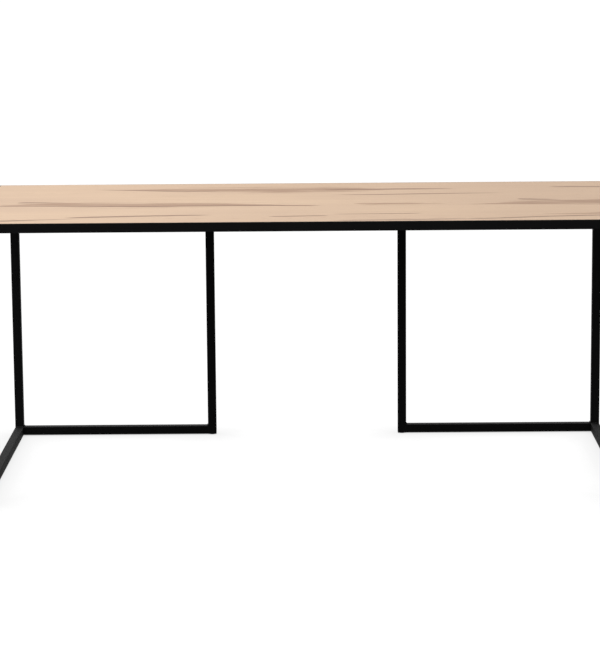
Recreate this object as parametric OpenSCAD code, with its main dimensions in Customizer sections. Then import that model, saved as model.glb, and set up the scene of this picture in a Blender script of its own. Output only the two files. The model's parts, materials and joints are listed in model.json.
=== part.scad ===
// A four-legged work desk: a wood-decor board lies in a frame of folded steel,
// and two welded leg units of square tube carry it. Each leg unit is L-shaped
// in plan: a closed side frame, and a narrower closed frame along the back.
// Origin: middle of the footprint, on the floor, with the feet screwed in.
// +X is to the sitter's right, +Y is away from the sitter and +Z is up.

/* [Overall] */
// Width over the outer faces of the frame
desk_w = 1800; // [1400:10:2200]
// Depth over the outer faces of the frame
desk_d = 900; // [700:10:1100]
// Height of the working surface with the feet screwed in
desk_h = 750; // [650:5:1000]
// How far the leg units stand in from the frame's left and right ends
leg_inset = 28; // [10:1:60]
// Clear distance between the two inner rear posts
inner_gap = 542; // [300:1:800]

/* [Square tube] */
// Outer size of the square tube
tube = 25; // [22:0.5:40]
// Wall of the square tube
tube_wall = 2; // [1.5:0.1:2.5]
// Outer corner radius of the tube and of the frame
tube_corner = 2; // [1:0.1:3]

/* [Top] */
// Thickness of the board
board_t = 22; // [18:0.5:30]
// Play between the board and the folded rim all round
board_play = 0.5; // [0.2:0.1:2]
// Thickness of the folded steel
angle_t = 3; // [2:0.1:5]
// How far the ledge under the board reaches inwards past the top bars
ledge_past_bar = 2; // [0:0.5:20]
// Number of cross braces under the board
brace_count = 3; // [1:1:5]
// Distance between neighbouring cross braces
brace_pitch = 440; // [250:5:550]
// Width of a cross brace
brace_w = 40; // [25:1:60]

/* [Fasteners] */
// Diameter of the frame bolts
bolt_d = 6; // [5:1:8]
// How far the frame bolts reach into the board
bolt_bite = 10.4; // [8:0.1:12]
// Distance from a top bar's end to its nearest bolt
bolt_inset = 70; // [40:5:120]
// Outer diameter of the threaded inserts in the board
insert_d = 10; // [9:0.5:12]
// Length of the threaded inserts
insert_len = 12; // [8:0.5:15]
// Diameter of the screws through the cross braces
screw_d = 4.4; // [3.5:0.1:5]
// Length of those screws under the head
screw_len = 16; // [12:0.5:18]
// Radial play of a thread in its hole
thread_play = 0.05; // [0.03:0.01:0.1]
// Radial play of a screw or bolt in a drilled hole
drill_play = 0.3; // [0.1:0.05:1]

/* [Feet] */
// Height of the floor bars and post ends above the floor at rest
floor_gap = 2; // [1:0.5:5]
// How far each foot screws out
foot_travel = 10; // [5:1:12]
// Diameter of the foot pad
pad_d = 18; // [14:0.5:18.5]
// Height of the foot pad
pad_h = 8; // [7:0.5:12]
// Radial play of the pad in its recess
pad_play = 0.5; // [0.3:0.1:0.8]
// Diameter of the foot stud
stud_d = 8; // [6:1:10]
// Length of stud left in the socket with the foot screwed right out
stud_grip = 12; // [10:1:16]
// Height of the threaded part of the foot socket
socket_grip = 20; // [18:1:40]
// Play between the foot socket and the tube on each side
socket_play = 0.05; // [0.03:0.01:0.2]
// Diameter of the flange that the pad holds the stud by
flange_d = 12; // [10:0.5:13]
// Thickness of that flange
flange_t = 2; // [1.5:0.1:3]
// Thickness of the pad above the flange
pad_roof = 3; // [2:0.5:4]
// Diameter of the hole under the pad that lets the key through
key_hole_d = 6; // [5:0.5:9]
// Play of the flange and stud inside the pad
swivel_play = 0.1; // [0.05:0.01:0.2]
// Size across flats of the key sockets in studs and bolts
key_size = 4; // [3:0.5:5]

/* [Welds] */
// Leg length of the weld fillets
weld_leg = 3; // [2:0.5:5]

/* [Hidden] */
$fn = 48;
HEX = 6;
NUDGE = 1;
SIDES = ["left", "right"];
POSTS = ["front", "rear", "inner"];
half_w = desk_w / 2;
half_d = desk_d / 2;
inner_x = inner_gap / 2;
rail_h = board_t + angle_t;
angle_ledge = leg_inset + tube + ledge_past_bar;
leg_x = half_w - leg_inset;
board_z = desk_h - board_t;
rail_z = desk_h - rail_h;
top_bar_z = rail_z - tube;
side_bar_len = desk_d - 2 * tube;
rear_bar_len = leg_x - inner_x - 2 * tube;
brace_len = desk_d - 2 * angle_ledge;
tube_hole = tube - 2 * tube_wall;
recess_top = pad_h;
socket_top = recess_top + socket_grip;
flange_z = pad_h - pad_roof - flange_t;
stud_top = recess_top + foot_travel + stud_grip;
key_depth = 2.5;
bolt_head_d = 1.75 * bolt_d;
bolt_head_h = 0.55 * bolt_d;
washer_d = 2 * bolt_d;
washer_t = 1.6;
bolt_hole_d = bolt_d + 2 * drill_play;
bolt_head_z = top_bar_z - washer_t;
bolt_len = washer_t + tube + angle_t + bolt_bite;
insert_pocket = insert_len + 1;
screw_head_d = 2 * screw_d;
screw_head_h = 0.6 * screw_d;
screw_pocket = screw_len - angle_t + 1;
side_bolts_y = [for (k = [-1, 0, 1]) k * (side_bar_len / 2 - bolt_inset)];
rear_bar_mid = inner_x + tube + rear_bar_len / 2;
rear_bolts_x = [for (k = [-1, 1]) rear_bar_mid + k * (rear_bar_len / 2 - bolt_inset)];
braces_x = [for (k = [0:brace_count - 1]) (k - (brace_count - 1) / 2) * brace_pitch];
screws_y = [for (k = [-1, 0, 1]) k * (brace_len / 2 - bolt_inset)];

// Corners of each post that a bar's end meets, on the right-hand side.
WELDED_CORNERS = [
    ["rear", [[-1, -1], [-1, 1], [1, -1]]],
    ["inner", [[1, -1], [1, 1]]],
    ["front", [[-1, 1], [1, 1]]]
];

SIDED = [
    "floor_bar_side", "floor_bar_rear", "top_bar_side", "top_bar_rear",
    "leg_welds", "flush_welds", "top_rail"
];
FOOTED = ["post", "foot_socket", "foot_pad", "foot_stud"];
NODES = concat(
    ["desktop_board", "top_rail_front", "top_rail_rear", "top_frame_welds"],
    [for (part = SIDED) for (side = SIDES) str(part, "_", side)],
    [for (part = FOOTED) for (spot = POSTS) for (side = SIDES) str(part, "_", spot, "_", side)],
    [for (k = [1:brace_count]) str("cross_brace_", k)],
    ["frame_bolts", "bolt_washers", "board_inserts", "brace_screws"]
);
node = "all";

function wanted(name) = node == "all" || node == name;

// Middle of a post, on the right-hand side.
function post_at(spot) =
    spot == "front" ? [leg_x - tube / 2, -half_d + tube / 2]
    : spot == "rear" ? [leg_x - tube / 2, half_d - tube / 2]
    : [inner_x + tube / 2, half_d - tube / 2];

// Draws its children, made for the right-hand side, on the side asked for.
module on_side(side) {
    mirror([side == "left" ? 1 : 0, 0, 0]) children();
}

// A rectangle from the origin with its four corners rounded to arcs.
module rounded_rectangle(size, r) {
    translate([r, 0]) square([size[0] - 2 * r, size[1]]);
    translate([0, r]) square([size[0], size[1] - 2 * r]);
    for (x = [r, size[0] - r], y = [r, size[1] - r]) translate([x, y]) circle(r);
}

// The tube's section, standing on the origin's corner.
module tube_section() {
    difference() {
        rounded_rectangle([tube, tube], tube_corner);
        translate([tube_wall, tube_wall]) square([tube_hole, tube_hole]);
    }
}

// Tubes of a given length along each axis, from the corner nearest the origin.
module tube_up(len) {
    linear_extrude(len) tube_section();
}

module tube_along_y(len) {
    translate([0, len, 0]) rotate([90, 0, 0]) linear_extrude(len) tube_section();
}

module tube_along_x(len) {
    rotate([90, 0, 90]) linear_extrude(len) tube_section();
}

// Places of the frame bolts on the right-hand leg unit.
module at_bolts() {
    for (y = side_bolts_y) translate([leg_x - tube / 2, y, 0]) children();
    for (x = rear_bolts_x) translate([x, half_d - tube / 2, 0]) children();
}

// Places of the frame bolts on both leg units.
module at_all_bolts() {
    for (side = SIDES) on_side(side) at_bolts() children();
}

// Places of the screws in one cross brace.
module at_screws() {
    for (y = screws_y) translate([0, y, 0]) children();
}

// Places of the screws in all cross braces.
module at_all_screws() {
    for (x = braces_x) translate([x, 0, 0]) at_screws() children();
}

// The board, flush with the frame's rim, with blind holes from below.
module desktop_board() {
    edge = angle_t + board_play;
    color([0.85, 0.75, 0.66])
    difference() {
        translate([-half_w + edge, -half_d + edge, board_z])
            cube([desk_w - 2 * edge, desk_d - 2 * edge, board_t]);
        at_all_bolts() translate([0, 0, board_z - NUDGE])
            cylinder(d = insert_d + 2 * thread_play, h = insert_pocket + NUDGE);
        at_all_screws() translate([0, 0, board_z - NUDGE])
            cylinder(d = screw_d + 2 * thread_play, h = screw_pocket + NUDGE);
    }
}

// The L-shaped section of the folded steel: rim upwards, ledge inwards.
module angle_section() {
    difference() {
        rounded_rectangle([angle_ledge, rail_h], angle_t / 4);
        translate([angle_t, angle_t]) square([angle_ledge, rail_h]);
    }
}

// One rail of the top frame along X at the front, mitred at both ends.
module angle_rail(len, depth) {
    intersection() {
        translate([-len / 2, -depth / 2, rail_z])
            rotate([90, 0, 90]) linear_extrude(len) angle_section();
        translate([0, -depth / 2, rail_z - NUDGE]) linear_extrude(rail_h + 2 * NUDGE)
            polygon([[-len / 2, 0], [len / 2, 0], [0, len / 2]]);
        translate([-len / 2, -depth / 2, rail_z - NUDGE]) linear_extrude(rail_h + 2 * NUDGE)
            rounded_rectangle([len, depth], tube_corner);
    }
}

module top_rail_front() {
    color([0.05, 0.05, 0.05])
    difference() {
        angle_rail(desk_w, desk_d);
        bolt_holes();
    }
}

module top_rail_rear() {
    color([0.05, 0.05, 0.05])
    difference() {
        rotate([0, 0, 180]) angle_rail(desk_w, desk_d);
        bolt_holes();
    }
}

module top_rail(side) {
    color([0.05, 0.05, 0.05])
    difference() {
        on_side(side) rotate([0, 0, 90]) angle_rail(desk_d, desk_w);
        bolt_holes();
    }
}

// Clearance holes for the frame bolts, through a top bar and the ledge.
module bolt_holes() {
    at_all_bolts() translate([0, 0, top_bar_z - NUDGE])
        cylinder(d = bolt_hole_d, h = board_z - top_bar_z + 2 * NUDGE);
}

// A flat bar between the front and rear ledges, flush with them, with
// clearance holes for the screws into the board.
module cross_brace(x) {
    color([0.05, 0.05, 0.05])
    translate([x, 0, rail_z])
    difference() {
        translate([-brace_w / 2, -brace_len / 2, 0]) cube([brace_w, brace_len, angle_t]);
        at_screws() translate([0, 0, -NUDGE])
            cylinder(d = screw_d + 2 * drill_play, h = angle_t + 2 * NUDGE);
    }
}

// An upright of the leg unit, from just above the floor to the top frame.
module post(spot, side) {
    at = post_at(spot);
    color([0.06, 0.06, 0.06])
    on_side(side) translate([at[0] - tube / 2, at[1] - tube / 2, floor_gap])
        tube_up(rail_z - floor_gap);
}

module floor_bar_side(side) {
    color([0.06, 0.06, 0.06])
    on_side(side) translate([leg_x - tube, -side_bar_len / 2, floor_gap])
        tube_along_y(side_bar_len);
}

module floor_bar_rear(side) {
    color([0.06, 0.06, 0.06])
    on_side(side) translate([inner_x + tube, half_d - tube, floor_gap])
        tube_along_x(rear_bar_len);
}

module top_bar_side(side) {
    color([0.06, 0.06, 0.06])
    difference() {
        on_side(side) translate([leg_x - tube, -side_bar_len / 2, top_bar_z])
            tube_along_y(side_bar_len);
        bolt_holes();
    }
}

module top_bar_rear(side) {
    color([0.06, 0.06, 0.06])
    difference() {
        on_side(side) translate([inner_x + tube, half_d - tube, top_bar_z])
            tube_along_x(rear_bar_len);
        bolt_holes();
    }
}

// A triangular weld bead of length len along +Y, in the corner between a
// face that looks to +X and a face that looks to +Z.
module weld_bead(len) {
    translate([0, len, 0]) rotate([90, 0, 0]) linear_extrude(len)
        polygon([[0, 0], [weld_leg, 0], [0, weld_leg]]);
}

// Beads on top of a floor bar and under a top bar where the bar meets a
// post. The post's face is at the origin and looks to +X.
module post_beads() {
    len = tube - 2 * tube_corner;
    translate([0, tube_corner, floor_gap + tube]) weld_bead(len);
    translate([0, tube_corner, top_bar_z]) mirror([0, 0, 1]) weld_bead(len);
}

module leg_welds(side) {
    color([0.07, 0.07, 0.07])
    on_side(side) {
        translate([inner_x + tube, half_d - tube, 0]) post_beads();
        translate([leg_x - tube, half_d, 0]) rotate([0, 0, 180]) post_beads();
        translate([leg_x, -half_d + tube, 0]) rotate([0, 0, 90]) post_beads();
        translate([leg_x - tube, half_d - tube, 0]) rotate([0, 0, -90]) post_beads();
    }
}

// Weld metal, ground flush, between a post's rounded edge and the end of a
// bar. The post's axis is at the origin, and the edge is towards +X and +Y.
module edge_fill() {
    to_arc = tube / 2 - tube_corner;
    linear_extrude(tube - 2 * tube_corner)
        translate([to_arc, to_arc]) difference() {
            square(tube_corner);
            circle(tube_corner);
        }
}

module flush_welds(side) {
    color([0.06, 0.06, 0.06])
    on_side(side)
        for (post = WELDED_CORNERS, corner = post[1], z = [floor_gap, top_bar_z])
            translate([post_at(post[0])[0], post_at(post[0])[1], z + tube_corner])
                mirror([corner[0] < 0 ? 1 : 0, 0, 0]) mirror([0, corner[1] < 0 ? 1 : 0, 0])
                    edge_fill();
}

// Beads beside each end of each cross brace, along the ledge's inner edge.
module top_frame_welds() {
    color([0.07, 0.07, 0.07])
    for (x = braces_x, back = [0, 1], left = [0, 1])
        mirror([0, back, 0]) translate([x, -brace_len / 2, rail_z])
            mirror([left, 0, 0]) translate([brace_w / 2, 0, 0])
                linear_extrude(angle_t) polygon([[0, 0], [weld_leg, 0], [0, weld_leg]]);
}

// The plastic block in a post's lower end: a round recess that takes the
// foot pad, and above it the threaded hole of the stud.
module foot_socket(spot, side) {
    at = post_at(spot);
    block = tube_hole - 2 * socket_play;
    color([0.1, 0.1, 0.1])
    on_side(side) translate([at[0], at[1], 0])
    difference() {
        translate([-block / 2, -block / 2, floor_gap]) cube([block, block, socket_top - floor_gap]);
        translate([0, 0, floor_gap - NUDGE])
            cylinder(d = pad_d + 2 * pad_play, h = recess_top - floor_gap + NUDGE);
        cylinder(d = stud_d + 2 * thread_play, h = socket_top + NUDGE);
    }
}

// The pad that stands on the floor. It holds the stud's flange, and a hole
// in its underside lets a key through to turn the stud.
module foot_pad(spot, side) {
    at = post_at(spot);
    chamfer = 0.8;
    color([0.12, 0.12, 0.12])
    on_side(side) translate([at[0], at[1], 0])
    difference() {
        union() {
            cylinder(d1 = pad_d - 2 * chamfer, d2 = pad_d, h = chamfer);
            translate([0, 0, chamfer]) cylinder(d = pad_d, h = pad_h - chamfer);
        }
        translate([0, 0, -NUDGE]) cylinder(d = key_hole_d, h = pad_h);
        translate([0, 0, flange_z - swivel_play])
            cylinder(d = flange_d + 2 * swivel_play, h = flange_t + 2 * swivel_play);
        translate([0, 0, flange_z]) cylinder(d = stud_d + 2 * swivel_play, h = pad_h);
    }
}

// The threaded stud: its flange turns in the pad, and its shank in the socket.
module foot_stud(spot, side) {
    at = post_at(spot);
    tip = 1;
    color([0.7, 0.7, 0.72])
    on_side(side) translate([at[0], at[1], flange_z])
    difference() {
        union() {
            cylinder(d = flange_d, h = flange_t);
            cylinder(d = stud_d, h = stud_top - flange_z - tip);
            translate([0, 0, stud_top - flange_z - tip])
                cylinder(d1 = stud_d, d2 = stud_d - 2 * tip, h = tip);
        }
        translate([0, 0, -NUDGE]) rotate([0, 0, 30])
            cylinder(d = key_size / cos(30), h = key_depth + NUDGE, $fn = HEX);
    }
}

// Button-head bolts, upwards through washer, top bar and ledge into the board.
module frame_bolts() {
    color([0.2, 0.2, 0.2])
    at_all_bolts() translate([0, 0, bolt_head_z]) difference() {
        union() {
            cylinder(d = bolt_d, h = bolt_len);
            mirror([0, 0, 1]) cylinder(d1 = bolt_head_d, d2 = 0.6 * bolt_head_d, h = bolt_head_h);
        }
        translate([0, 0, -bolt_head_h - NUDGE]) rotate([0, 0, 30])
            cylinder(d = key_size / cos(30), h = 0.6 * bolt_head_h + NUDGE, $fn = HEX);
    }
}

module bolt_washers() {
    color([0.25, 0.25, 0.25])
    at_all_bolts() translate([0, 0, bolt_head_z]) difference() {
        cylinder(d = washer_d, h = washer_t);
        translate([0, 0, -NUDGE]) cylinder(d = bolt_hole_d, h = washer_t + 2 * NUDGE);
    }
}

module board_inserts() {
    color([0.75, 0.72, 0.6])
    at_all_bolts() translate([0, 0, board_z]) difference() {
        cylinder(d = insert_d, h = insert_len);
        translate([0, 0, -NUDGE]) cylinder(d = bolt_d + 2 * thread_play, h = insert_len + 2 * NUDGE);
    }
}

// Pan-head screws through the cross braces, up into the board.
module brace_screws() {
    color([0.7, 0.7, 0.72])
    at_all_screws() translate([0, 0, rail_z]) {
        mirror([0, 0, 1]) cylinder(d = screw_head_d, h = screw_head_h);
        cylinder(d = screw_d, h = screw_len - screw_d);
        translate([0, 0, screw_len - screw_d])
            cylinder(d1 = screw_d, d2 = screw_d / 4, h = screw_d);
    }
}

if (wanted("desktop_board")) desktop_board();
if (wanted("top_rail_front")) top_rail_front();
if (wanted("top_rail_rear")) top_rail_rear();
if (wanted("top_frame_welds")) top_frame_welds();
for (side = SIDES) {
    if (wanted(str("floor_bar_side_", side))) floor_bar_side(side);
    if (wanted(str("floor_bar_rear_", side))) floor_bar_rear(side);
    if (wanted(str("top_bar_side_", side))) top_bar_side(side);
    if (wanted(str("top_bar_rear_", side))) top_bar_rear(side);
    if (wanted(str("leg_welds_", side))) leg_welds(side);
    if (wanted(str("flush_welds_", side))) flush_welds(side);
    if (wanted(str("top_rail_", side))) top_rail(side);
    for (spot = POSTS) {
        if (wanted(str("post_", spot, "_", side))) post(spot, side);
        if (wanted(str("foot_socket_", spot, "_", side))) foot_socket(spot, side);
        if (wanted(str("foot_pad_", spot, "_", side))) foot_pad(spot, side);
        if (wanted(str("foot_stud_", spot, "_", side))) foot_stud(spot, side);
    }
}
for (k = [1:brace_count]) {
    if (wanted(str("cross_brace_", k))) cross_brace(braces_x[k - 1]);
}
if (wanted("frame_bolts")) frame_bolts();
if (wanted("bolt_washers")) bolt_washers();
if (wanted("board_inserts")) board_inserts();
if (wanted("brace_screws")) brace_screws();
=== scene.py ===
# %% [markdown]
# A plain work desk: a light oak decor board in a black steel rim, on two
# welded leg units of square tube. The board, the tubes and every fastener
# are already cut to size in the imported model, which is loaded here as a
# fixed frame. This lesson gives them their finishes, and models the small
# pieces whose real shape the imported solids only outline: weld beads,
# screw threads, screw heads and the moulded foot pads.

# %% Load the frame
import json
import math

import bmesh
import bpy
from mathutils import Matrix, Vector, noise


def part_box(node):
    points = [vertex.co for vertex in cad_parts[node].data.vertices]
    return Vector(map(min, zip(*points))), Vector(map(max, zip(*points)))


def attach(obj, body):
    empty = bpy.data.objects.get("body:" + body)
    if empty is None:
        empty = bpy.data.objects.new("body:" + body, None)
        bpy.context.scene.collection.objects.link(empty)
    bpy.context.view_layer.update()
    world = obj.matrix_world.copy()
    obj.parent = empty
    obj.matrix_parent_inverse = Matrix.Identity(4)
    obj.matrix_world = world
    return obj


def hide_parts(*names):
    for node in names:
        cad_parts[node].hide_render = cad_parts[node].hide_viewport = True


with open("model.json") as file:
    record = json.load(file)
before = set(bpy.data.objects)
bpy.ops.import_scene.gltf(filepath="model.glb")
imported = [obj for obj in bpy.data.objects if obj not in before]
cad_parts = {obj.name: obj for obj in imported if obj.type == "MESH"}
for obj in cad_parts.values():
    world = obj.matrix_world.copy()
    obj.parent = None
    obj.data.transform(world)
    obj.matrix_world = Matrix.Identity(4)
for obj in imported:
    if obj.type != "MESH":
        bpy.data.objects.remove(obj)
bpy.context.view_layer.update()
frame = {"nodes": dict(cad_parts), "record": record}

# %% [markdown]
# The desk's main sizes are read back from the frame's own boxes, so that
# nothing here has to repeat them. A rear post gives the tube's size and the
# board gives the height of the working surface.

# %% Read the desk's sizes
MM = 0.001
post_low, post_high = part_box("post_rear_right")
inner_low, inner_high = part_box("post_inner_right")
board_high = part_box("desktop_board")[1]
top_bar_low, top_bar_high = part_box("top_bar_side_right")
floor_bar_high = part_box("floor_bar_rear_right")[1]
tube = post_high.x - post_low.x
leg_half_width = post_high.x
half_depth = post_high.y
half_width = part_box("top_rail_right")[1].x
desk_height = board_high.z
print("desk", round(2 * half_width, 3), "x", round(2 * half_depth, 3), "x", round(desk_height, 3), "m")

# %% [markdown]
# A desk like this is usually shown from the front, a little above, through a
# long lens, so that its uprights stay upright. A long lens from far away
# does this better than a wide one close by. The camera is placed by three
# turns: the pitch down, a small turn to the side, and the slight tilt of a
# tripod that was levelled by hand.

# %% Camera
camera_place = Vector((0.0244, -7.1367, 1.6021))
camera_turn = math.radians(0.3282)
camera_pitch = math.radians(9.6596)
camera_tilt = math.radians(-0.4546)

camera_data = bpy.data.cameras.new("desk_camera")
camera_data.lens = 140.98
camera_data.sensor_width = 36.0
camera_data.clip_end = 200.0
camera = bpy.data.objects.new("desk_camera", camera_data)
camera.matrix_world = (
    Matrix.Translation(camera_place)
    @ Matrix.Rotation(camera_turn, 4, "Z")
    @ Matrix.Rotation(math.pi / 2 - camera_pitch, 4, "X")
    @ Matrix.Rotation(camera_tilt, 4, "Z")
)
bpy.context.scene.collection.objects.link(camera)
bpy.context.scene.camera = camera
print("camera", round((camera_place - Vector((0, 0, desk_height / 2))).length, 2), "m from the desk")

# %% [markdown]
# Colours are given as sRGB hex values, as on a paint chart. Blender mixes
# light in linear values, so one function turns the hex into linear.

# %% Colours from hex
def linear(hex_colour):
    channels = []
    for start in (0, 2, 4):
        value = int(hex_colour[start:start + 2], 16) / 255
        channels.append(value / 12.92 if value <= 0.04045 else ((value + 0.055) / 1.055) ** 2.4)
    return (*channels, 1.0)


print("mid grey is", round(linear("808080")[0], 3), "in linear light")

# %% [markdown]
# A material is a small graph of nodes. One helper adds a node of any kind:
# settings are its own properties, and sockets are its inputs by name or by
# number. A socket's value may be a plain value or another node's output,
# which becomes a link. A second helper does arithmetic with such outputs.

# %% Helpers for shader graphs
def add(tree, kind, settings=None, sockets=None):
    node = tree.nodes.new(kind)
    for name, value in (settings or {}).items():
        setattr(node, name, value)
    for name, value in (sockets or {}).items():
        if isinstance(value, bpy.types.NodeSocket):
            tree.links.new(value, node.inputs[name])
        else:
            node.inputs[name].default_value = value
    return node


def maths(tree, operation, *values, clamp=False):
    settings = {"operation": operation, "use_clamp": clamp}
    return add(tree, "ShaderNodeMath", settings, dict(enumerate(values))).outputs[0]


def material_with(name):
    material = bpy.data.materials.new(name)
    material.use_nodes = True
    return material, material.node_tree, material.node_tree.nodes["Principled BSDF"]


print("shader helpers are ready")

# %% [markdown]
# Noise is what makes a finish look real, and its size has to be right. This
# helper takes the size of the noise's grains in millimetres along each axis,
# and turns it into a scale for object coordinates, which are metres. A
# second helper spreads a value between two limits and sends it on.

# %% Noise in real millimetres
def grain_noise(tree, sizes, detail=2.0, roughness=0.5, shift=0.0, source=None):
    if source is None:
        source = add(tree, "ShaderNodeTexCoord").outputs["Object"]
    scaled = add(tree, "ShaderNodeMapping", None, {
        "Vector": source,
        "Location": (shift, shift, shift),
        "Scale": tuple(1 / (size * MM) for size in sizes),
    })
    sockets = {"Vector": scaled.outputs[0], "Scale": 1.0, "Detail": detail, "Roughness": roughness}
    return add(tree, "ShaderNodeTexNoise", None, sockets).outputs["Fac"]


def spread(tree, value, low, high, from_low=0.0, from_high=1.0, smooth=False):
    settings = {"interpolation_type": "SMOOTHSTEP" if smooth else "LINEAR", "clamp": True}
    sockets = {0: value, 1: from_low, 2: from_high, 3: low, 4: high}
    return add(tree, "ShaderNodeMapRange", settings, sockets).outputs[0]


def mix_colours(tree, share, first, second, blend="MIX"):
    settings = {"data_type": "RGBA", "blend_type": blend}
    return add(tree, "ShaderNodeMix", settings, {0: share, 6: first, 7: second}).outputs[2]


def bump(tree, shader, height, depth_mm, strength=1.0):
    sockets = {"Height": height, "Distance": depth_mm * MM, "Strength": strength}
    tree.links.new(add(tree, "ShaderNodeBump", None, sockets).outputs[0], shader.inputs["Normal"])


print("noise helpers are ready")

# %% [markdown]
# Powder coat is a baked polyester film, here a fine matt black. Close up its
# skin has the soft dimples of orange peel, about a millimetre across and a
# few hundredths of a millimetre deep, with a much finer grit on top. Paint
# this black sends back very little light of its own, so the eye reads the
# shape mostly from the soft sheen on faces that look up.

# %% Powder coat
# Matt black powder coat: gives the eye a dead black with a dull sheen.
powder_coat, tree, shader = material_with("matt_black_powder_coat")
peel = grain_noise(tree, (1.6, 1.6, 1.6), detail=1.0)
grit = grain_noise(tree, (0.22, 0.22, 0.22), detail=2.0)
cloud = grain_noise(tree, (90, 90, 90), detail=3.0)
skin = maths(tree, "ADD", maths(tree, "MULTIPLY", peel, 0.8), maths(tree, "MULTIPLY", grit, 0.2))
tone = mix_colours(tree, cloud, linear("191919"), linear("212122"))
tree.links.new(tone, shader.inputs["Base Color"])
tree.links.new(spread(tree, cloud, 0.52, 0.64), shader.inputs["Roughness"])
shader.inputs["Specular IOR Level"].default_value = 0.12
bump(tree, shader, skin, 0.05, 0.6)
print("made", powder_coat.name)

# %% [markdown]
# Weld metal is painted together with the tubes, but the film lies thicker
# and glossier over its ripples, so it gets a slightly smoother coat.

# %% Powder coat over weld metal
# The same coat over welds: gives the eye small glints on the ripples.
weld_coat, tree, shader = material_with("powder_coat_over_welds")
lumps = grain_noise(tree, (0.9, 0.9, 0.9), detail=3.0)
tree.links.new(mix_colours(tree, lumps, linear("1A1A1B"), linear("242425")), shader.inputs["Base Color"])
tree.links.new(spread(tree, lumps, 0.40, 0.52), shader.inputs["Roughness"])
shader.inputs["Specular IOR Level"].default_value = 0.18
bump(tree, shader, lumps, 0.08, 0.5)
print("made", weld_coat.name)

# %% [markdown]
# Bright fasteners are zinc plated: a pale, faintly blue metal with a cloudy
# sheen. Black fasteners are oiled black oxide, a dark metal. Metals keep
# the default index of refraction, because their colour does that work.

# %% Fastener metals
# Zinc plating: gives the eye a pale bluish metal with soft highlights.
zinc_steel, tree, shader = material_with("zinc_plated_steel")
patches = grain_noise(tree, (2.5, 2.5, 2.5), detail=3.0)
tree.links.new(mix_colours(tree, patches, linear("B4B8BE"), linear("CDCFD0")), shader.inputs["Base Color"])
tree.links.new(spread(tree, patches, 0.28, 0.42), shader.inputs["Roughness"])
shader.inputs["Metallic"].default_value = 1.0
bump(tree, shader, grain_noise(tree, (0.3, 0.3, 0.3), detail=2.0), 0.01, 0.5)

# Black oxide: gives the eye a nearly black metal with an oily gloss.
black_steel, tree, shader = material_with("black_oxide_steel")
film = grain_noise(tree, (1.8, 1.8, 1.8), detail=3.0)
tree.links.new(mix_colours(tree, film, linear("232426"), linear("313235")), shader.inputs["Base Color"])
tree.links.new(spread(tree, film, 0.38, 0.52), shader.inputs["Roughness"])
shader.inputs["Metallic"].default_value = 1.0
bump(tree, shader, grain_noise(tree, (0.35, 0.35, 0.35), detail=2.0), 0.01, 0.5)
print("made", zinc_steel.name, "and", black_steel.name)

# %% [markdown]
# The two plastics differ a little. The block inside a post is glass-filled
# nylon, hard and even. The pad that stands on the floor is softer
# polyethylene: greyer, waxier, and finely scuffed from the mould.

# %% Plastics
# Filled nylon: gives the eye an even black with a fine moulded grain.
socket_plastic, tree, shader = material_with("black_filled_nylon")
fleck = grain_noise(tree, (0.6, 0.6, 1.2), detail=3.0)
tree.links.new(mix_colours(tree, fleck, linear("111111"), linear("1A1A1A")), shader.inputs["Base Color"])
tree.links.new(spread(tree, fleck, 0.45, 0.60), shader.inputs["Roughness"])
bump(tree, shader, fleck, 0.02, 0.5)

# Polyethylene: gives the eye a soft dark grey with a waxy sheen.
pad_plastic, tree, shader = material_with("dark_polyethylene")
scuff = grain_noise(tree, (0.4, 0.4, 2.0), detail=4.0)
tree.links.new(mix_colours(tree, scuff, linear("1C1C1D"), linear("292929")), shader.inputs["Base Color"])
tree.links.new(spread(tree, scuff, 0.40, 0.58), shader.inputs["Roughness"])
bump(tree, shader, scuff, 0.03, 0.5)
print("made", socket_plastic.name, "and", pad_plastic.name)

# %% [markdown]
# The board is chipboard with a printed oak decor under melamine. The print
# shows a flat-sawn log. A flat saw cut crosses the yearly rings at a low
# angle, which draws long nested arches along the middle of each strip and
# nearly straight lines at its sides. That shape comes from geometry: the
# ring's radius at a point is the hypotenuse of its distance across the
# strip and the depth of the cut below it, and the depth drifts slowly
# along the length.

# %% Oak decor: the yearly rings
# Oak decor: gives the eye a pale warm wood with soft brown streaks.
oak_decor, tree, shader = material_with("satin_oak_decor")
place = add(tree, "ShaderNodeTexCoord").outputs["Object"]
axes = add(tree, "ShaderNodeSeparateXYZ", None, {0: place})
along, across = axes.outputs[0], axes.outputs[1]

sway = grain_noise(tree, (520, 90, 400), detail=3.0, source=place)
bent_across = maths(tree, "ADD", across, spread(tree, sway, -0.045, 0.045))
strip_width = 0.31
from_middle = maths(tree, "PINGPONG", maths(tree, "ADD", bent_across, 0.06), strip_width / 2)
depth_drift = grain_noise(tree, (760, 260, 400), detail=1.0, shift=4.7, source=place)
cut_depth = spread(tree, depth_drift, 0.004, 0.075, 0.25, 0.75)
middle_squared = maths(tree, "POWER", from_middle, 2.0)
depth_squared = maths(tree, "POWER", cut_depth, 2.0)
radius = maths(tree, "SQRT", maths(tree, "ADD", middle_squared, depth_squared))
ring_width = 0.0052
ring = maths(tree, "FRACT", maths(tree, "DIVIDE", radius, ring_width))
ring_fall = spread(tree, ring, 1.0, 0.0, 0.0, 0.55, smooth=True)
ring_rise = spread(tree, ring, 0.0, 1.0, 0.0, 0.06)
ring_line = maths(tree, "MULTIPLY", ring_fall, ring_rise)
print("rings are", ring_width * 1000, "mm apart")

# %% [markdown]
# Between the rings run fine fibres, and in the early wood of each ring the
# pores show as short dark dashes a few millimetres long and a fifth of a
# millimetre wide. Both are noise stretched far along the grain.

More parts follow.
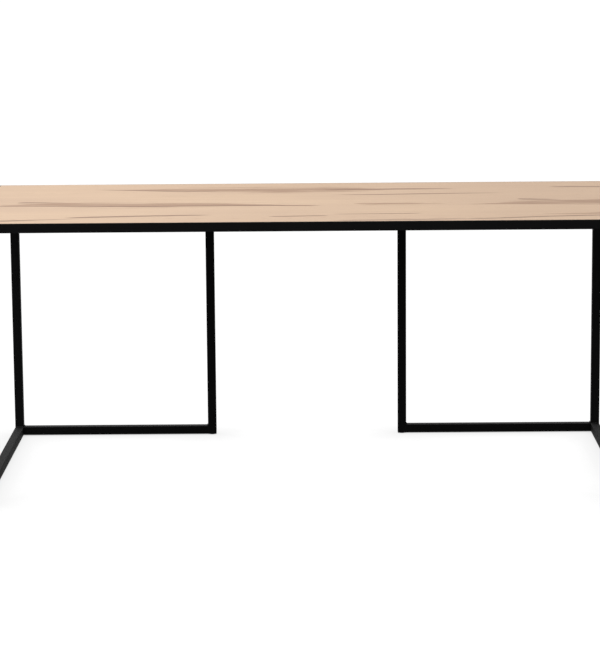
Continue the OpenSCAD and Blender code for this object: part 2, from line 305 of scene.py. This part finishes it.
# %% Oak decor: fibres and pores
fibres = grain_noise(tree, (60, 1.1, 1.1), detail=3.0, source=place)
pore_noise = grain_noise(tree, (5.5, 0.28, 0.28), detail=1.0, source=place)
pore_dashes = spread(tree, pore_noise, 0.0, 1.0, 0.60, 0.70)
early_wood = spread(tree, ring_line, 0.25, 1.0)
pores = maths(tree, "MULTIPLY", pore_dashes, early_wood)
bands = grain_noise(tree, (900, 14, 14), detail=4.0, roughness=0.6, shift=2.1, source=place)
drift = grain_noise(tree, (700, 240, 240), detail=2.0, shift=8.3, source=place)
print("fibres and pores are ready")

# %% [markdown]
# What makes this print recognisable is its dark heartwood: a few broad
# smoky streaks that swell and fade over half a metre, and some thin dark
# lines. Each one is drawn as a path. At every point the path has a place
# along the desk, a place across it and a half width, in millimetres. Two
# curves hold the path's centre and its half width, and the mask is how far
# inside that band a point lies. Noise along the grain feathers the edges of
# the thin lines, and coarser noise breaks the broad streaks into tongues.

# %% Oak decor: a streak's mask
span_along, span_across, widest = 0.9, 0.45, 0.1
share_along = spread(tree, along, 0.0, 1.0, -span_along, span_along)
fine_grain = grain_noise(tree, (170, 9, 9), detail=4.0, roughness=0.65, shift=5.9, source=place)
feather = spread(tree, fine_grain, -0.55, 0.55)

coarse_grain = grain_noise(tree, (230, 17, 17), detail=3.0, roughness=0.6, shift=7.7, source=place)
tongues = spread(tree, coarse_grain, -0.75, 0.95, 0.25, 0.75)


def curve_of(tree, source, points):
    node = add(tree, "ShaderNodeFloatCurve", None, {"Value": source})
    curve = node.mapping.curves[0]
    curve.points[0].location = points[0]
    curve.points[1].location = points[-1]
    for x, y in points[1:-1]:
        curve.points.new(x, y)
    for point in curve.points:
        point.handle_type = "AUTO_CLAMPED"
    node.mapping.update()
    return node.outputs[0]


def streak_mask(path, edge_noise, fade_end):
    shares = [(x * MM + span_along) / (2 * span_along) for x, y, half in path]
    middles = [(y * MM + span_across) / (2 * span_across) for x, y, half in path]
    halves = [half * MM / widest for x, y, half in path]
    middle = spread(tree, curve_of(tree, share_along, list(zip(shares, middles))), -span_across, span_across)
    half = maths(tree, "MULTIPLY", curve_of(tree, share_along, list(zip(shares, halves))), widest)
    away = maths(tree, "ABSOLUTE", maths(tree, "SUBTRACT", across, middle))
    inside = maths(tree, "SUBTRACT", 1.0, maths(tree, "DIVIDE", away, maths(tree, "MAXIMUM", half, 0.0002)))
    rough_edge = maths(tree, "ADD", inside, edge_noise)
    shown = spread(tree, half, 0.0, 1.0, 0.0005, 0.004)
    return maths(tree, "MULTIPLY", spread(tree, rough_edge, 0.0, 1.0, 0.05, fade_end, smooth=True), shown)


def deepest(masks):
    total = masks[0]
    for mask in masks[1:]:
        total = maths(tree, "MAXIMUM", total, mask)
    return total


print("streaks are drawn from paths")

# %% [markdown]
# The broad streaks are soft and only a shade darker than the wood round
# them, and like smoke they are denser in some fibres than in others. The
# thin lines are narrow and clearly darker, as mineral streaks and healed
# cracks are.

# %% Oak decor: place the streaks
broad_paths = (
    (
        (-900, -60, 6), (-840, -58, 16), (-700, -48, 46), (-580, -44, 62), (-450, -56, 70),
        (-310, -64, 58), (-190, -74, 36), (-60, -92, 14), (60, -98, 0),
    ),
    (
        (-620, 312, 0), (-520, 300, 14), (-400, 294, 36), (-260, 284, 70), (-120, 278, 84),
        (20, 276, 78), (130, 276, 50), (240, 280, 24), (360, 284, 10), (440, 284, 0),
    ),
    ((440, -96, 0), (520, -84, 16), (600, -62, 44), (720, -58, 62), (800, -54, 66), (900, -50, 60)),
    ((130, -66, 0), (180, -66, 22), (250, -66, 28), (330, -72, 12), (400, -74, 0)),
    ((620, -318, 0), (720, -318, 16), (820, -306, 34), (900, -300, 40)),
)
thin_paths = (
    ((-800, 6, 0), (-780, 10, 14), (-740, 8, 11), (-650, 0, 0)),
    (
        (-900, -66, 4), (-780, -68, 9), (-600, -80, 12), (-420, -98, 12), (-260, -88, 10),
        (-120, -88, 13), (-30, -98, 10), (60, -104, 0),
    ),
    ((-620, 312, 0), (-520, 296, 9), (-430, 276, 13), (-330, 258, 9), (-220, 246, 0)),
    ((40, 282, 0), (150, 284, 12), (260, 284, 13), (360, 282, 11), (440, 284, 0)),
    ((-900, -404, 11), (-834, -396, 17), (-753, -384, 13), (-640, -366, 5), (-560, -362, 0)),
    ((-640, -338, 0), (-587, -328, 16), (-455, -310, 18), (-317, -298, 13), (-240, -294, 0)),
    ((60, 152, 0), (180, 150, 9), (330, 160, 12), (480, 168, 7), (600, 170, 0)),
    ((-100, -338, 0), (-60, -334, 10), (20, -326, 10), (70, -322, 0)),
    ((60, -296, 0), (150, -292, 8), (250, -290, 8), (330, -284, 0)),
    ((400, -410, 0), (500, -402, 11), (640, -372, 12), (800, -352, 11), (900, -340, 9)),
    ((60, -426, 0), (160, -424, 9), (330, -414, 9), (460, -406, 0)),
    ((700, 312, 0), (748, 310, 12), (820, 306, 14), (900, 300, 13)),
    ((590, 20, 0), (612, 16, 16), (660, 8, 12), (720, 0, 0)),
)
smoky_grain = grain_noise(tree, (300, 6, 6), detail=4.0, roughness=0.65, shift=3.3, source=place)
smoke = spread(tree, smoky_grain, 0.45, 1.25, 0.3, 0.65)
broad_masks = deepest([streak_mask(path, tongues, 0.9) for path in broad_paths])
broad = maths(tree, "MULTIPLY", broad_masks, smoke)
thin = deepest([streak_mask(path, feather, 0.55) for path in thin_paths])
print(len(broad_paths), "broad streaks and", len(thin_paths), "thin lines")

# %% [markdown]
# The colours go on in layers, as the decor is printed: a pale ground that
# drifts slowly, then bands, rings, fibres and pores, and the streaks last.
# The melamine over the print is satin, with a shallow structure pressed in
# along the grain that the light catches at a low angle.

# %% Oak decor: colour and surface
ground = mix_colours(tree, spread(tree, drift, 0.0, 1.0, 0.3, 0.7), linear("BBA085"), linear("B0957D"))
ground = mix_colours(tree, spread(tree, bands, 0.0, 0.45, 0.45, 0.75), ground, linear("A78B71"))
ground = mix_colours(tree, maths(tree, "MULTIPLY", ring_line, 0.30), ground, linear("9D7F66"))
ground = mix_colours(tree, spread(tree, fibres, 0.0, 0.22, 0.5, 0.8), ground, linear("C7AF94"))
ground = mix_colours(tree, maths(tree, "MULTIPLY", broad, 0.85), ground, linear("87674F"))
ground = mix_colours(tree, maths(tree, "MULTIPLY", thin, 0.80), ground, linear("694A37"))
ground = mix_colours(tree, maths(tree, "MULTIPLY", pores, 0.45), ground, linear("705643"))
tree.links.new(ground, shader.inputs["Base Color"])
tree.links.new(spread(tree, fibres, 0.42, 0.56), shader.inputs["Roughness"])
relief = maths(tree, "SUBTRACT", maths(tree, "MULTIPLY", fibres, 0.5), pores)
bump(tree, shader, relief, 0.05, 0.5)
print("made", oak_decor.name)

# %% [markdown]
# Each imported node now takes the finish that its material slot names. Weld
# metal is the one exception: it has its own coat.

# %% Paint the frame's nodes
finishes = {
    "wood_decor": oak_decor,
    "powder_coat": powder_coat,
    "socket_plastic": socket_plastic,
    "pad_plastic": pad_plastic,
    "zinc_steel": zinc_steel,
    "black_steel": black_steel,
}
slot_of = {part["node"]: part["material_slot"] for part in frame["record"]["subparts"]}
for node_name, node in frame["nodes"].items():
    node.data.materials.clear()
    is_weld = "welds" in node_name
    node.data.materials.append(weld_coat if is_weld else finishes[slot_of[node_name]])
print("painted", len(frame["nodes"]), "nodes")

# %% [markdown]
# The small turned and moulded pieces are all revolved from a profile, which
# is how a lathe or a mould makes them. A profile is a list of points, each
# a radius and a height in millimetres. Spinning its edges once round gives
# the surface, and the seam and any point on the axis are merged. The piece
# is then moved to its place in the desk, so its object stays at the origin.
# Its faces have to look outwards. Blender guesses this from the face that
# is farthest out, which can go wrong on a ribbed shape, so the volume that
# the faces enclose is added up too. If it is negative, they are turned over.

# %% Helpers for small pieces
def revolve(bm, profile, centre, steps=32):
    points = [bm.verts.new((radius * MM, 0, height * MM)) for radius, height in profile]
    edges = [bm.edges.new(pair) for pair in zip(points, points[1:])]
    bmesh.ops.spin(
        bm, geom=points + edges, cent=(0, 0, 0), axis=(0, 0, 1),
        angle=2 * math.pi, steps=steps, use_merge=True, use_duplicate=False,
    )
    made = [vert for vert in bm.verts if not vert.tag]
    bmesh.ops.remove_doubles(bm, verts=made, dist=1e-7)
    settle(bm, centre)


def face_outwards(bm):
    new_faces = [face for face in bm.faces if not face.verts[0].tag]
    bmesh.ops.recalc_face_normals(bm, faces=new_faces)
    bm.normal_update()
    start = new_faces[0].verts[0].co
    volume = 0.0
    for face in new_faces:
        volume += (face.calc_center_median() - start).dot(face.normal) * face.calc_area() / 3
    if volume < 0:
        bmesh.ops.reverse_faces(bm, faces=new_faces)


def settle(bm, centre):
    face_outwards(bm)
    made = [vert for vert in bm.verts if not vert.tag]
    bmesh.ops.translate(bm, verts=made, vec=Vector(centre))
    for vert in made:
        vert.tag = True


def piece(name, bm, material, slot, body, *nodes):
    mesh = bpy.data.meshes.new(name)
    bm.to_mesh(mesh)
    bm.free()
    mesh.shade_smooth()
    mesh.set_sharp_from_angle(angle=math.radians(38))
    mesh.materials.append(material)
    made = bpy.data.objects.new(name, mesh)
    bpy.context.scene.collection.objects.link(made)
    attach(made, body)
    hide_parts(*nodes)
    return made


def arc(centre_radius, centre_height, size, start, end, count):
    turns = [math.radians(start + (end - start) * k / count) for k in range(count + 1)]
    return [(centre_radius + size * math.cos(t), centre_height + size * math.sin(t)) for t in turns]


print("revolving is ready")

# %% [markdown]
# A screw head's drive is a hole that isn't round. This helper closes the
# head around it: the drive's outline and every round edge are loops with
# the same number of points, and four-sided faces join each loop to the
# next, point to point. Blender's own bridging has to guess which points
# belong together, and it can twist two flat loops that share a centre. The
# outline is carried inwards and capped, which leaves a socket with
# straight walls and a flat bottom.

# %% A head with a drive socket
def ring_of(bm, radius_at, height, count=24):
    circle = bmesh.ops.create_circle(bm, cap_ends=False, radius=1.0, segments=count)
    for vert in circle["verts"]:
        angle = math.atan2(vert.co.y, vert.co.x)
        radius = radius_at(angle) * MM
        vert.co = (radius * math.cos(angle), radius * math.sin(angle), height * MM)
    return circle["verts"]


def hexagon(flats):
    def radius_at(angle):
        turned = (angle + math.pi / 6) % (math.pi / 3) - math.pi / 6
        return flats / 2 / math.cos(turned)
    return radius_at


def headed(bm, rings, drive, drive_depth, centre):
    loops = [ring_of(bm, drive, rings[0][1] + drive_depth), ring_of(bm, drive, rings[0][1])]
    loops += [ring_of(bm, lambda angle, size=radius: size, height) for radius, height in rings]
    for first, second in zip(loops, loops[1:]):
        for here in range(len(first)):
            after = (here + 1) % len(first)
            bm.faces.new((first[here], first[after], second[after], second[here]))
    bm.faces.new(loops[0])
    bm.faces.new(loops[-1])
    settle(bm, centre)


print("heads are ready")

# %% [markdown]
# The frame bolts are M6 button heads with a 4 mm hexagon. They go up
# through a washer, a top bar and the ledge, into the board. The head's dome
# is an arc that meets the flat round the socket. Ten of them are one mesh,
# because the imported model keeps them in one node.

# %% Frame bolts and washers
head_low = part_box("frame_bolts")[0].z
washer_low, washer_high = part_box("bolt_washers")
head_top = washer_low.z
bolt_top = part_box("frame_bolts")[1].z
bolt_inset = 0.07
bolt_spots = []
for side in (-1, 1):
    for y in (top_bar_low.y + bolt_inset, 0.0, top_bar_high.y - bolt_inset):
        bolt_spots.append((side * (leg_half_width - tube / 2), y))
    for x in (inner_high.x + bolt_inset, post_low.x - bolt_inset):
        bolt_spots.append((side * x, half_depth - tube / 2))

head_height = (head_top - head_low) / MM
shank = (bolt_top - head_top) / MM
bolt_radius = 3.0
flat_radius, dome_spread, dome_start = 2.9, 2.25, 0.12
dome = []
for step in range(6):
    turn = math.radians(90 * step / 5)
    rise = (head_height - dome_start) * (1 - math.cos(turn))
    dome.append((flat_radius + dome_spread * math.sin(turn), dome_start + rise))
bolt_rings = (
    [(2.55, 0.0)]
    + dome
    + [(5.0, head_height), (bolt_radius, head_height)]
    + [(bolt_radius, head_height + shank - 0.8), (2.3, head_height + shank)]
)
bolts = bmesh.new()
for x, y in bolt_spots:
    headed(bolts, bolt_rings, hexagon(4.0), 2.0, (x, y, head_low))
piece("button_head_bolts", bolts, black_steel, "black_steel", "frame", "frame_bolts")

washer_height = (washer_high.z - washer_low.z) / MM
washer_hole, washer_edge = 3.3, 6.0
washer_profile = (
    [(washer_hole, 0.0), (5.7, 0.0)]
    + arc(5.7, 0.3, 0.3, -90, 0, 3)
    + [(washer_edge, washer_height - 0.15), (5.85, washer_height)]
    + [(washer_hole, washer_height), (washer_hole, 0.0)]
)
washers = bmesh.new()
for x, y in bolt_spots:
    revolve(washers, washer_profile, (x, y, washer_low.z), steps=32)
piece("punched_washers", washers, black_steel, "black_steel", "frame", "bolt_washers")
print(len(bolt_spots), "bolts with washers")

# %% [markdown]
# The board is held to the flat cross braces by pan-head screws with a cross
# drive. The cross is an outline whose radius grows in four directions.

# %% Brace screws
def cross(angle):
    across_arm = abs((angle % (math.pi / 2)) - math.pi / 4)
    return 0.85 + 1.25 * max(0.0, across_arm / (math.pi / 4) - 0.45) / 0.55


screw_low, screw_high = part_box("brace_screws")
brace_boxes = [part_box("cross_brace_" + str(k)) for k in (1, 2, 3)]
screw_spots = []
for low, high in brace_boxes:
    for y in (low.y + bolt_inset, 0.0, high.y - bolt_inset):
        screw_spots.append(((low.x + high.x) / 2, y))
pan_height = 2.64
screw_total = (screw_high.z - screw_low.z) / MM
screw_rings = [(2.7, 0.0), (3.5, 0.2), (4.1, 0.75), (4.4, 1.5), (4.4, pan_height), (1.9, pan_height)]
turns = 7
for k in range(turns):
    at = pan_height + 1.6 + k * 1.55
    screw_rings += [(1.5, at - 0.55), (2.2, at), (1.5, at + 0.55)]
screw_rings += [(0.5, screw_total)]
screws = bmesh.new()
for x, y in screw_spots:
    headed(screws, screw_rings, cross, 1.5, (x, y, screw_low.z))
piece("pan_head_screws", screws, zinc_steel, "zinc_steel", "frame", "brace_screws")
print(len(screw_spots), "screws")

# %% [markdown]
# A foot has two pieces. The pad is turned up at its lower edge so that it
# slides over a carpet, and it grips the stud's flange inside. The stud is an
# M8 thread with a hexagon in its lower end. A thread is a profile of one
# pitch, spun round while it climbs one pitch per turn. Each turn's top edge
# then meets the next turn's lower edge, and the two merge into one screw.

# %% Foot pads
pad_low, pad_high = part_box("foot_pad_rear_right")
pad_height = (pad_high.z - pad_low.z) / MM
pad_radius = (pad_high.x - pad_low.x) / 2 / MM
pad_profile = (
    [(3.0, 0.0), (5.4, 0.0), (5.6, 0.25), (6.1, 0.25), (6.3, 0.0)]
    + arc(pad_radius - 1.2, 1.2, 1.2, -90, 0, 6)
    + arc(pad_radius - 0.6, pad_height - 0.6, 0.6, 0, 90, 4)
    + [(4.5, pad_height), (4.1, pad_height - 0.4), (4.1, 5.1), (6.1, 5.1), (6.1, 2.9), (3.0, 2.9), (3.0, 0.0)]
)
sides = {"left": -1, "right": 1}
spots = {
    "front": (leg_half_width - tube / 2, -half_depth + tube / 2),
    "rear": (leg_half_width - tube / 2, half_depth - tube / 2),
    "inner": ((inner_low.x + inner_high.x) / 2, half_depth - tube / 2),
}
feet = []
for spot, (x, y) in spots.items():
    for side, sign in sides.items():
        feet.append((spot + "_" + side, sign * x, y))
for foot, x, y in feet:
    pad = bmesh.new()
    revolve(pad, pad_profile, (x, y, pad_low.z), steps=48)
    piece("moulded_pad_" + foot, pad, pad_plastic, "pad_plastic", "foot_pad_" + foot, "foot_pad_" + foot)
print(len(feet), "pads")

# %% Foot studs
stud_low, stud_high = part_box("foot_stud_rear_right")
stud_length = (stud_high.z - stud_low.z) / MM
pitch = 1.25
flange_top = 2.0
crest, root = 3.95, 3.25


def threaded_stud(centre):
    bm = bmesh.new()
    flange_rings = [
        (2.35, 0.0), (5.8, 0.0), (6.0, 0.2), (6.0, flange_top - 0.2), (5.8, flange_top),
        (3.2, flange_top), (3.2, flange_top + 0.5),
    ]
    headed(bm, flange_rings, hexagon(4.0), 2.5, centre)
    points = []
    for radius, height in ((root, 0.0), (crest, 0.5), (crest, 0.66), (root, 1.16), (root, pitch)):
        points.append(bm.verts.new((radius * MM, 0, (flange_top + height) * MM)))
    edges = [bm.edges.new(pair) for pair in zip(points, points[1:])]
    turns = int((stud_length - flange_top - 1.6) / pitch)
    steps = 24
    bmesh.ops.spin(
        bm, geom=points + edges, cent=(0, 0, 0), axis=(0, 0, 1), dvec=(0, 0, pitch * MM / steps),
        angle=2 * math.pi * turns, steps=steps * turns, use_merge=False, use_duplicate=False,
    )
    thread = [vert for vert in bm.verts if not vert.tag]
    bmesh.ops.remove_doubles(bm, verts=thread, dist=2e-6)
    rim = [edge for edge in bm.edges if edge.is_boundary]
    bmesh.ops.holes_fill(bm, edges=rim, sides=0)
    settle(bm, centre)
    return bm


for foot, x, y in feet:
    stud = threaded_stud((x, y, stud_low.z))
    stud_node = "foot_stud_" + foot
    piece("threaded_stud_" + foot, stud, zinc_steel, "zinc_steel", stud_node, stud_node)
print(len(feet), "studs, thread pitch", pitch, "mm")

# %% [markdown]
# A fillet weld made by hand is a row of overlapping drops. Each drop leaves
# a ripple, about a millimetre apart, and the bead swells and thins a little
# where the welder's hand slowed or sped up. Each bead here is a many-sided
# rod, cut into short lengths and pressed into the corner: two flat sides
# against the tubes and a bulging face between them. No two are the same,
# because noise at each bead's place moves the ripples.

# %% A bead's cross-section
def bulge(degrees):
    turn = math.radians(degrees)
    return 0.98 * math.cos(turn) ** 0.82, 0.98 * math.sin(turn) ** 0.82


slice_length = 0.45
drop_length = 1.15
first_leg = [(0.0, 0.0), (0.5, 0.0), (1.0, 0.0)]
second_leg = [(0.0, 1.0), (0.0, 0.5), (0.0, 0.2)]
bead_outline = first_leg + [bulge(degrees) for degrees in (12, 25, 38, 52, 65, 78)] + second_leg
print("a bead has", len(bead_outline), "sides and drops of", drop_length, "mm")


# %% Weld beads
def bead(bm, start, along_bead, face_a, face_b, length, leg):
    bmesh.ops.create_cone(
        bm, cap_ends=True, cap_tris=False, segments=12, radius1=1.0, radius2=1.0, depth=1.0,
        matrix=Matrix.Translation((0, 0, 0.5)),
    )
    new_edges = [edge for edge in bm.edges if not edge.verts[0].tag]
    long_edges = [edge for edge in new_edges if abs(edge.verts[0].co.z - edge.verts[1].co.z) > 0.5]
    cuts = int(length / (slice_length * MM))
    bmesh.ops.subdivide_edges(bm, edges=long_edges, cuts=cuts, use_grid_fill=False)
    for vert in [vert for vert in bm.verts if not vert.tag]:
        index = round(math.atan2(vert.co.y, vert.co.x) / (2 * math.pi) * 12) % 12
        share = min(1.0, max(0.0, vert.co.z))
        distance = share * length / MM
        wander = noise.noise(Vector(start) * 37 + Vector((distance * 0.35, 0, 0)))
        drop = (distance / drop_length + 0.6 * wander) % 1.0
        taper = min(1.0, 0.45 + 1.4 * min(distance, length / MM - distance) / 2.2)
        size = leg * taper * (0.80 + 0.06 * wander + 0.14 * (1 - drop) ** 0.6)
        u, v = bead_outline[index]
        lag = 0.35 * MM * math.sin(math.pi * min(1.0, u + v) * 0.5) * taper if 0 < index < 10 else 0.0
        middle = Vector(start) + Vector(along_bead) * (share * length - lag)
        vert.co = middle + Vector(face_a) * (u * size) + Vector(face_b) * (v * size)
    face_outwards(bm)
    for vert in bm.verts:
        vert.tag = True


weld_leg = 3 * MM
bead_length = tube - 4 * MM
floor_top, top_under = floor_bar_high.z, top_bar_low.z
for side, sign in sides.items():
    welds = bmesh.new()
    corner = bead_length / 2
    middle_y = half_depth - tube / 2
    side_x = leg_half_width - tube / 2
    joints = (
        ((inner_high.x, middle_y - corner), (0, 1), (1, 0)),
        ((post_low.x, middle_y - corner), (0, 1), (-1, 0)),
        ((side_x - corner, -half_depth + tube), (1, 0), (0, 1)),
        ((side_x - corner, half_depth - tube), (1, 0), (0, -1)),
    )
    for (x, y), (dx, dy), (nx, ny) in joints:
        run, out = (sign * dx, dy, 0), (sign * nx, ny, 0)
        for z, up in ((floor_top, 1), (top_under, -1)):
            bead(welds, (sign * x, y, z), run, out, (0, 0, up), bead_length, weld_leg)
    piece("rippled_welds_" + side, welds, weld_coat, "powder_coat", "frame", "leg_welds_" + side)
print("beads are", round(bead_length / MM, 1), "mm long")

# %% [markdown]
# The desk stands on a floor of white acrylic that is lit from beneath, as
# studios use for pictures on pure white. It shines evenly, so the desk
# throws no broad shadow on it. Close to the bars a faint shadow is painted
# into its glow: how much of the sky a point of the floor can see within a
# hand's length sets that painted shadow, and a curve sets how deep it goes.
# The floor only shines towards the camera, as if the desk stood on a dark
# base of its own, so the black steel stays black.

# %% Floor
floor_mesh = bmesh.new()
bmesh.ops.create_grid(floor_mesh, x_segments=1, y_segments=1, size=60.0)
floor_data = bpy.data.meshes.new("studio_floor")
floor_mesh.to_mesh(floor_data)
floor_mesh.free()
floor = bpy.data.objects.new("studio_floor", floor_data)
bpy.context.scene.collection.objects.link(floor)

# Glowing white floor: gives the eye an even white with faint painted contact shadows.
glow_floor_painted_shadow, tree, shader = material_with("lit_white_acrylic")
open_sky = add(tree, "ShaderNodeAmbientOcclusion", {"samples": 16}, {"Distance": 0.2}).outputs["AO"]
# Painted contact shadow: the floor's glow is dimmed where bars close by hide the sky from it.
painted_shadow_curve = ((0.0, 0.55), (0.5, 0.82), (0.75, 0.87), (0.9, 0.90), (0.96, 0.93), (1.0, 1.0))
glow_with_painted_shadow = maths(tree, "MULTIPLY", curve_of(tree, open_sky, painted_shadow_curve), 1.03)
tree.links.new(glow_with_painted_shadow, shader.inputs["Emission Strength"])
shader.inputs["Emission Color"].default_value = (1.0, 1.0, 1.0, 1.0)
shader.inputs["Base Color"].default_value = (0.02, 0.02, 0.02, 1.0)
shader.inputs["Roughness"].default_value = 0.9
shader.inputs["Specular IOR Level"].default_value = 0.0
floor_data.materials.append(glow_floor_painted_shadow)
floor.visible_diffuse = False
floor.visible_glossy = False
print("the floor is lit acrylic")

# %% [markdown]
# A wide soft source overhead stands for a ceiling of softboxes, and one
# softbox to the left gives the wood its slight fall-off. The studio round
# the desk is grey above the desk's level and behind it, and dark in front
# below that level. Surfaces seen at a low angle show that difference: tops
# and the inner sides of the floor bars get a grey sheen, fronts don't.

# %% Lights and surround
ceiling_data = bpy.data.lights.new("studio_ceiling", "SUN")
ceiling_data.energy = 3.1
ceiling_data.angle = math.radians(70)
ceiling = bpy.data.objects.new("studio_ceiling", ceiling_data)
ceiling.rotation_euler = (math.radians(-12), math.radians(-14), 0)
softbox_data = bpy.data.lights.new("left_softbox", "AREA")
softbox_data.shape = "RECTANGLE"
softbox_data.size, softbox_data.size_y = 1.6, 2.4
softbox_data.energy = 20.0
softbox = bpy.data.objects.new("left_softbox", softbox_data)
softbox.location = (-0.9, 0.1, 2.4)
softbox.rotation_euler = (0, math.radians(-20), 0)
for light in (ceiling, softbox):
    bpy.context.scene.collection.objects.link(light)

surround = bpy.data.worlds.new("studio_surround")
surround.use_nodes = True
tree = surround.node_tree
direction = add(tree, "ShaderNodeTexCoord").outputs["Generated"]
towards = add(tree, "ShaderNodeSeparateXYZ", None, {0: direction}).outputs
above = spread(tree, towards[2], 0.06, 0.36, -0.08, 0.12, smooth=True)
behind = spread(tree, towards[1], 0.0, 0.42, 0.25, 0.9, smooth=True)
grey = maths(tree, "MAXIMUM", above, behind)
tree.links.new(grey, tree.nodes["Background"].inputs["Color"])
bpy.context.scene.world = surround
bpy.context.scene.view_settings.view_transform = "Standard"
print("stage and lights are set")
